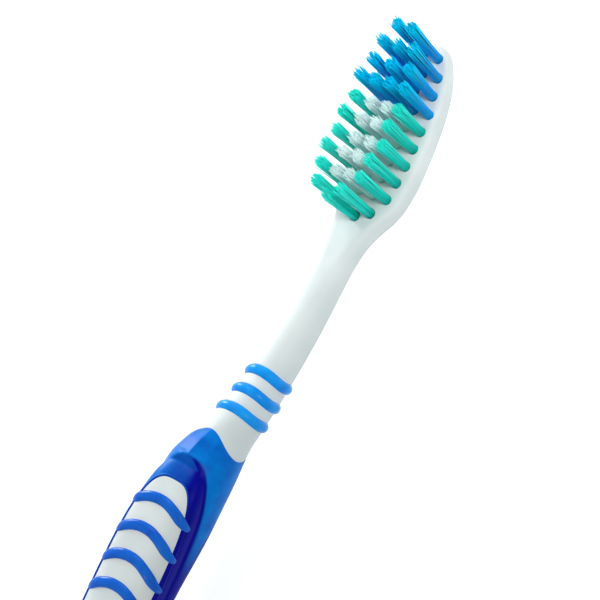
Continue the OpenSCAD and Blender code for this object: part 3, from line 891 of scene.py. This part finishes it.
def new_material(name):
    """A material with only a Principled shader and its output."""
    material = bpy.data.materials.new(name)
    tree = empty_tree(material)
    shader = add_node(tree, "ShaderNodeBsdfPrincipled")
    add_node(tree, "ShaderNodeOutputMaterial", {"Surface": shader.outputs["BSDF"]})
    return material, tree, shader


def per_mm(size):
    """Noise scale for features of a size in millimetres."""
    return 1 / (size * MM)


def finish(tree, shader, colour, rough, relief, constants):
    """Gives the shader its colour and constants, and two effects of a pattern: a roughness, as
    (pattern, low, high), and a relief, as (pattern, strength, depth in millimetres)."""
    roughness = add_node(tree, "ShaderNodeMapRange", {
        "Value": rough[0], "To Min": rough[1], "To Max": rough[2]})
    bump = add_node(tree, "ShaderNodeBump", {
        "Height": relief[0], "Strength": relief[1], "Distance": relief[2] * MM})
    set_inputs(tree, shader, {
        "Base Color": colour, "Roughness": roughness.outputs["Result"],
        "Normal": bump.outputs["Normal"], **constants})


print("a 0.5 mm grain has scale", round(per_mm(0.5)))

# %% [markdown]
# The handle's core is polypropylene, injection moulded in a polished steel mould. The real
# surface is smooth and a little milky: broad soft highlights, no grain that a finger would feel,
# and a faint flow pattern a centimetre wide where the melt cooled. So the colour and the
# roughness drift with a wide noise, and a fine bump only breaks the highlight's edge. The mould's
# own polish is far finer than the render shows, so its grain is drawn 0.5 mm coarse.

# %% Moulded white polypropylene
def white_polypropylene():
    """Satin white: a soft broad highlight, pale cool grey in the shade."""
    material, tree, shader = new_material("injection_moulded_white_polypropylene")
    place = add_node(tree, "ShaderNodeTexCoord").outputs["Object"]
    flow = add_node(tree, "ShaderNodeTexNoise", {"Vector": place, "Scale": per_mm(9), "Detail": 2})
    grain = add_node(tree, "ShaderNodeTexNoise", {
        "Vector": place, "Scale": per_mm(0.5), "Detail": 3})
    tone = add_node(tree, "ShaderNodeValToRGB", {"Fac": flow.outputs["Fac"]})
    low, high = tone.color_ramp.elements
    low.position, high.position = 0.35, 0.65
    low.color, high.color = linear("#d5dfdf"), linear("#e0e9e8")
    finish(tree, shader, tone.outputs["Color"], (flow.outputs["Fac"], 0.45, 0.55),
           (grain.outputs["Fac"], 0.04, 0.05), {"IOR": 1.49, "Specular IOR Level": 0.3})
    return material


WHITE = white_polypropylene()
print("material:", WHITE.name)

# %% [markdown]
# The soft layer is a thermoplastic elastomer, a rubbery plastic that is moulded over the core. It
# is coloured right through and lets a little light in, but it is drawn without a volume, which is
# slow and is lost in an export. The almost navy on the flank of the pad is painted shade: a mask
# draws it inside the pad's oval, full where the surface turns to -Y, the side where the real one
# shows a navy flank, and fading out over the pad's top. The flank that faces +Y keeps the blue.

# %% Painted shade on the pad's flank
def pad_oval(tree, place):
    """1 inside the pad's outline and 0 outside, from object coordinates."""
    axes = add_node(tree, "ShaderNodeSeparateXYZ", {"Vector": place})
    powers = []
    for axis, middle, half in (
            ("X", TIP - PAD_AT, PAD_LEN / 2 + PAD_GAP), ("Y", 0, PAD_W / 2 + PAD_GAP)):
        share = axes.outputs[axis]
        for operation, by in (("SUBTRACT", middle * MM), ("ABSOLUTE", 0), ("DIVIDE", half * MM),
                              ("POWER", PAD_SQUARE)):
            share = add_node(
                tree, "ShaderNodeMath", {0: share, 1: by}, operation=operation).outputs["Value"]
        powers.append(share)
    total = add_node(tree, "ShaderNodeMath", {0: powers[0], 1: powers[1]}, operation="ADD")
    return add_node(tree, "ShaderNodeMapRange", {
        "Value": total.outputs["Value"], "From Min": 0.98, "From Max": 1.06,
        "To Min": 1, "To Max": 0}, interpolation_type="SMOOTHSTEP").outputs["Result"]


def painted_flank_shade(tree, place):
    """Painted shade: 1 on the pad's flank that faces -Y, fading out over its top, 0 elsewhere."""
    facing = add_node(tree, "ShaderNodeSeparateXYZ", {
        "Vector": add_node(tree, "ShaderNodeTexCoord").outputs["Normal"]})
    flank = add_node(tree, "ShaderNodeMapRange", {
        "Value": facing.outputs["Y"], "From Min": -0.28, "From Max": 0.3,
        "To Min": 1, "To Max": 0}, interpolation_type="SMOOTHSTEP").outputs["Result"]
    return add_node(tree, "ShaderNodeMath", {
        0: pad_oval(tree, place), 1: flank}, operation="MULTIPLY").outputs["Value"]


print("thick part of the layer:", FRONT_WALL, "mm, thin part:", GRIP_WALL, "mm")

# %% [markdown]
# The three blue finishes are one elastomer from three faces of the mould. The grip's face is
# lightly blasted, which leaves it satin with a faint pale bloom where light grazes it; the ribs
# and the rings are polished, so they carry a line of light along their tops. The colour drifts
# in clouds about 3 mm wide. A blasted grain is about 0.05 mm, too fine to show, so it is drawn
# 0.3 mm coarse and very shallow. Soft plastic reflects little, so the specular level is held low
# and the blue stays pure.

# %% Overmoulded elastomer
ROUGH_VARIES = 0.06


def elastomer(name, low, high, roughness, specular, bloom=0.0, thick=None):
    """A soft blue between two tones, with a pale bloom, and the navy of its painted shade."""
    material, tree, shader = new_material(name)
    place = add_node(tree, "ShaderNodeTexCoord").outputs["Object"]
    flow = add_node(tree, "ShaderNodeTexNoise", {"Vector": place, "Scale": per_mm(3), "Detail": 4})
    grain = add_node(tree, "ShaderNodeTexNoise", {
        "Vector": place, "Scale": per_mm(0.3), "Detail": 4}).outputs["Fac"]
    tone = add_node(tree, "ShaderNodeValToRGB", {"Fac": flow.outputs["Fac"]})
    first, last = tone.color_ramp.elements
    first.position, last.position = 0.3, 0.7
    first.color, last.color = linear(low), linear(high)
    colour = tone.outputs["Color"]
    # The colour in thick is painted shade, mixed in on the pad's flank that faces -Y.
    if thick:
        colour = add_node(tree, "ShaderNodeMix", {
            0: painted_flank_shade(tree, place), 6: colour, 7: linear(thick)}, data_type="RGBA").outputs[2]
    rough = (grain, roughness - ROUGH_VARIES, roughness + ROUGH_VARIES)
    finish(tree, shader, colour, rough, (grain, 0.1, 0.06), {
        "IOR": 1.5, "Specular IOR Level": specular,
        "Sheen Weight": bloom, "Sheen Roughness": 0.3, "Sheen Tint": linear("#d8e4ff")})
    return material


# The grip's last colour, #000498, is the navy of the painted shade on the pad's flank.
GRIP_BLUE = elastomer("satin_blue_elastomer", "#0064cc", "#0086e4", 0.3, 0.06, 0.17, "#000498")
RIB_BLUE = elastomer("polished_deep_blue_elastomer", "#0058cc", "#006ede", 0.13, 0.13)
RING_BLUE = elastomer("polished_azure_elastomer", "#0088ea", "#00a2fc", 0.13, 0.15)
print("materials:", GRIP_BLUE.name, RIB_BLUE.name, RING_BLUE.name)

# %% [markdown]
# The filaments are nylon, drawn through a die and left smooth. One filament is clear enough to
# pass light, so a tuft glows towards its cut end and darkens at the root, where its neighbours
# shade it. A colour ramp over the height paints that: painted shade at the root and painted light
# towards the cut end, and in the milky tufts a mint root that is partly painted turquoise light
# from the tufts beside them. No two filaments catch the light alike, so each island of the mesh
# gets its own brightness and its own roughness, and the specular level is low, or the white sky
# would grey their colour. The die leaves lines along the filament that are far too fine to see;
# they are drawn as a 0.1 mm ripple.

# %% Drawn nylon filament
def nylon(name, root, middle, top, dark, light):
    """Filament colour from root to cut end, and the brightness of the darkest and lightest."""
    material, tree, shader = new_material(name)
    place = add_node(tree, "ShaderNodeTexCoord").outputs["Object"]
    height = add_node(tree, "ShaderNodeSeparateXYZ", {"Vector": place}).outputs["Z"]
    share = add_node(tree, "ShaderNodeMapRange", {
        "Value": height, "From Min": HEAD_T * MM, "From Max": (HEAD_T + BRISTLE_H) * MM})
    # The ramp paints shade at the root and light towards the cut end.
    shade = add_node(tree, "ShaderNodeValToRGB", {"Fac": share.outputs["Result"]})
    stops = shade.color_ramp.elements
    stops[0].color, stops[1].color = linear(root), linear(top)
    stops.new(0.3).color = linear(middle)
    each = add_node(tree, "ShaderNodeNewGeometry").outputs["Random Per Island"]
    bright = add_node(tree, "ShaderNodeMapRange", {"Value": each, "To Min": dark, "To Max": light})
    colour = add_node(tree, "ShaderNodeHueSaturation", {
        "Color": shade.outputs["Color"], "Value": bright.outputs["Result"]})
    lines = add_node(tree, "ShaderNodeTexNoise", {"Vector": place, "Scale": per_mm(0.1)})
    finish(tree, shader, colour.outputs["Color"], (each, 0.26, 0.38),
           (lines.outputs["Fac"], 0.05, 0.01), {"IOR": 1.53, "Specular IOR Level": 0.08})
    return material


# The milky tufts' mint root is partly painted turquoise light from the tufts beside them.
FILAMENT = {
    "tip": nylon("drawn_blue_nylon", "#00b0f8", "#00aeff", "#00dcff", 0.75, 1.1),
    "side": nylon("drawn_turquoise_nylon", "#00c8ba", "#08f0e2", "#38fcee", 0.78, 1.1),
    "inner": nylon("drawn_milky_nylon", "#c4fff2", "#deffff", "#f2ffff", 0.95, 1.02)}
FILAMENT["heel"] = FILAMENT["side"]
print("filament materials:", sorted({kind.name for kind in FILAMENT.values()}))

# %% [markdown]
# The anchors are flat brass wire, drawn and then chopped. They sit deep in the holes under the
# folded filaments, and show only where a tuft is worn, but they are part of the brush and get
# their finish. Drawing leaves streaks along the wire, about 0.2 mm apart, that make the yellow
# metal gleam in lines. A metal's colour is its reflection, so the metallic value is 1.

# %% Drawn brass wire
def drawn_brass():
    """Yellow metal with fine streaks along the wire."""
    material, tree, shader = new_material("drawn_brass_wire")
    place = add_node(tree, "ShaderNodeTexCoord").outputs["Object"]
    along = add_node(tree, "ShaderNodeMapping", {"Vector": place, "Scale": (1, 0.1, 1)})
    streak = add_node(tree, "ShaderNodeTexNoise", {
        "Vector": along.outputs["Vector"], "Scale": per_mm(0.2), "Detail": 2}).outputs["Fac"]
    tone = add_node(tree, "ShaderNodeValToRGB", {"Fac": streak})
    low, high = tone.color_ramp.elements
    low.position, high.position = 0.3, 0.7
    low.color, high.color = linear("#c49a45"), linear("#e0bd6a")
    finish(tree, shader, tone.outputs["Color"], (streak, 0.22, 0.4), (streak, 0.1, 0.01),
           {"Metallic": 1})
    return material


BRASS = drawn_brass()
print("material:", BRASS.name)

# %% [markdown]
# Each piece now gets its finish. The anchors are the one node whose own shape is shown, so only
# their material slot is filled. At last every new piece rides on the one body: nothing on a
# toothbrush moves.

# %% Dress the pieces
def dress(piece, material):
    """Gives a piece its material."""
    piece.data.materials.clear()
    piece.data.materials.append(material)


for group, material, slot in (
        ((core, window), WHITE, "white_core"), ((grip, bead), GRIP_BLUE, "soft_grip"),
        (ribs, RIB_BLUE, "soft_grip"), (neck_rings, RING_BLUE, "soft_ring")):
    for piece in group:
        dress(piece, material)
for name, _, _, _, kind in TUFTS:
    dress(tufts[name], FILAMENT[kind])
dress(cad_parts["staple_anchors"], BRASS)

pieces = [core, window, grip, bead] + ribs + neck_rings + list(tufts.values())
for piece in pieces:
    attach(piece, "root")
print("dressed pieces:", len(pieces))

# %% [markdown]
# The brush was photographed on white. A white that comes from strong lamps would wash out the
# brush as well, so here only the rays that show the background see it white: those that come
# straight from the camera, off a glossy surface or through a clear one. All other rays get a
# soft grey sky, which lights the brush at a plain level.

# %% White background without more light
SKY_STRENGTH = 0.4


def seen_rays(tree):
    """1 for the rays that show the background and 0 for those that light the brush."""
    rays = add_node(tree, "ShaderNodeLightPath").outputs
    seen = rays["Is Camera Ray"]
    for ray in ("Is Glossy Ray", "Is Transmission Ray"):
        seen = add_node(
            tree, "ShaderNodeMath", {0: seen, 1: rays[ray]}, operation="MAXIMUM").outputs["Value"]
    return seen


def studio_world():
    """A soft grey sky that is seen as white."""
    world = bpy.data.worlds.new("studio")
    tree = empty_tree(world)
    soft, white = (
        add_node(tree, "ShaderNodeBackground", {"Color": linear("#ffffff"), "Strength": strength})
        for strength in (SKY_STRENGTH, 1.0))
    mix = add_node(tree, "ShaderNodeMixShader", {
        0: seen_rays(tree), 1: soft.outputs["Background"], 2: white.outputs["Background"]})
    add_node(tree, "ShaderNodeOutputWorld", {"Surface": mix.outputs["Shader"]})
    bpy.context.scene.world = world


studio_world()
print("world:", bpy.context.scene.world.name)

# %% [markdown]
# The floor is a plain pale sheet of 4 m, so wide that its edge never shows. It is matt, takes the
# brush's soft shadow, and is lifted a little for the same seen rays, so that the shadow stays
# and the rest reads as white paper.

# %% Pale floor
FLOOR_HALF, FLOOR_LIFT = 2.0, 0.5


def pale_floor():
    """A large matt sheet at the height of the table."""
    mesh = bpy.data.meshes.new("floor")
    mesh.from_pydata(
        [(x * FLOOR_HALF, y * FLOOR_HALF, 0) for x, y in ((-1, -1), (1, -1), (1, 1), (-1, 1))],
        [], [(0, 1, 2, 3)])
    floor = in_scene("floor", mesh)
    material, tree, shader = new_material("matt_pale_floor")
    lift = add_node(tree, "ShaderNodeMath", {
        0: seen_rays(tree), 1: FLOOR_LIFT}, operation="MULTIPLY")
    set_inputs(tree, shader, {
        "Base Color": linear("#f4f6f6"), "Roughness": 0.8, "Emission Color": linear("#ffffff"),
        "Emission Strength": lift.outputs["Value"]})
    mesh.materials.append(material)
    return floor


floor = pale_floor()
print("floor:", floor.dimensions.x, "m wide")

# %% [markdown]
# Four round soft boxes light the brush. The key stands low on the side of +Y and draws the light
# edge along the neck and the pale facet of the ridge. A smaller one above draws the lines of
# light on the rings and ribs. Two weak ones with a narrow spread each help one place: the head
# light, near the camera, opens the gaps between the tufts, and the tail light keeps the far
# white end as light as the neck. All stay weak, so that white stays below the point where it
# clips.

# %% Soft boxes
def soft_box(name, place, target, size, power, spread=180):
    """An area lamp at a place in metres, turned to a target, with a spread in degrees."""
    lamp = bpy.data.lights.new(name, "AREA")
    lamp.shape, lamp.size, lamp.energy = "DISK", size, power
    lamp.spread = math.radians(spread)
    holder = in_scene(name, lamp)
    holder.location = place
    holder.rotation_euler = (Vector(target) - Vector(place)).to_track_quat("-Z", "Y").to_euler()
    return holder


lamps = [
    soft_box("key_light", (0.25, 0.5, 0.13), (0.03, 0, 0.01), 0.24, 2.2),
    soft_box("top_light", (0.34, 0.22, 0.38), (0.04, 0, 0.01), 0.12, 0.4),
    soft_box("head_light", (0.12, -0.15, 0.22), (0.09, 0, 0.012), 0.12, 0.03, 40),
    soft_box("tail_light", (-0.3, 0.1, 0.45), (-0.1, 0, 0.008), 0.2, 0.035, 22)]
print("lamps:", [(lamp.name, lamp.data.energy) for lamp in lamps])

# %% [markdown]
# The camera stands where the photographer stood: over the bristles, less than 30 cm away, and
# turned so that the brush runs from the lower left to the upper right. It is close enough for
# the head to look larger than the handle, so the distance matters as much as the angle. The
# view is built from an azimuth, an elevation and a roll, which are easier to match than three
# rotations.

# %% Camera
TARGET, DISTANCE = (46.97, 0.67, 8), 286.7
AZIMUTH, ELEVATION, ROLL = -93.68, 55.86, 61.54
SENSOR, LENS, NEAREST = 36, 105.1, 0.01


def photographer():
    """Camera from its target, distance, azimuth, elevation and roll."""
    azimuth, elevation, roll = (math.radians(angle) for angle in (AZIMUTH, ELEVATION, ROLL))
    back = Vector((math.cos(elevation) * math.cos(azimuth), math.cos(elevation) * math.sin(azimuth),
                   math.sin(elevation)))
    level = Vector((0, 0, 1)).cross(back).normalized()
    up = math.cos(roll) * back.cross(level) + math.sin(roll) * level
    right = up.cross(back)
    optics = bpy.data.cameras.new("camera")
    optics.sensor_width, optics.lens, optics.clip_start = SENSOR, LENS, NEAREST
    holder = in_scene("camera", optics)
    place = Vector(TARGET) * MM + DISTANCE * MM * back
    holder.matrix_world = Matrix((
        (right.x, up.x, back.x, place.x), (right.y, up.y, back.y, place.y),
        (right.z, up.z, back.z, place.z), (0, 0, 0, 1)))
    return holder


camera = photographer()
bpy.context.scene.camera = camera
bpy.context.scene.view_settings.view_transform = "Standard"
print("camera at", [round(v / MM) for v in camera.matrix_world.translation], "mm")

# %% [markdown]
# The last step prints the imported model's box. The dressed brush's box should agree with it to
# a fraction of a millimetre, since the finish adds only what a hand would hardly feel.

# %% Print the imported model's box
print("CAD box:", [[round(v, 4) for v in corner] for corner in cad_box])
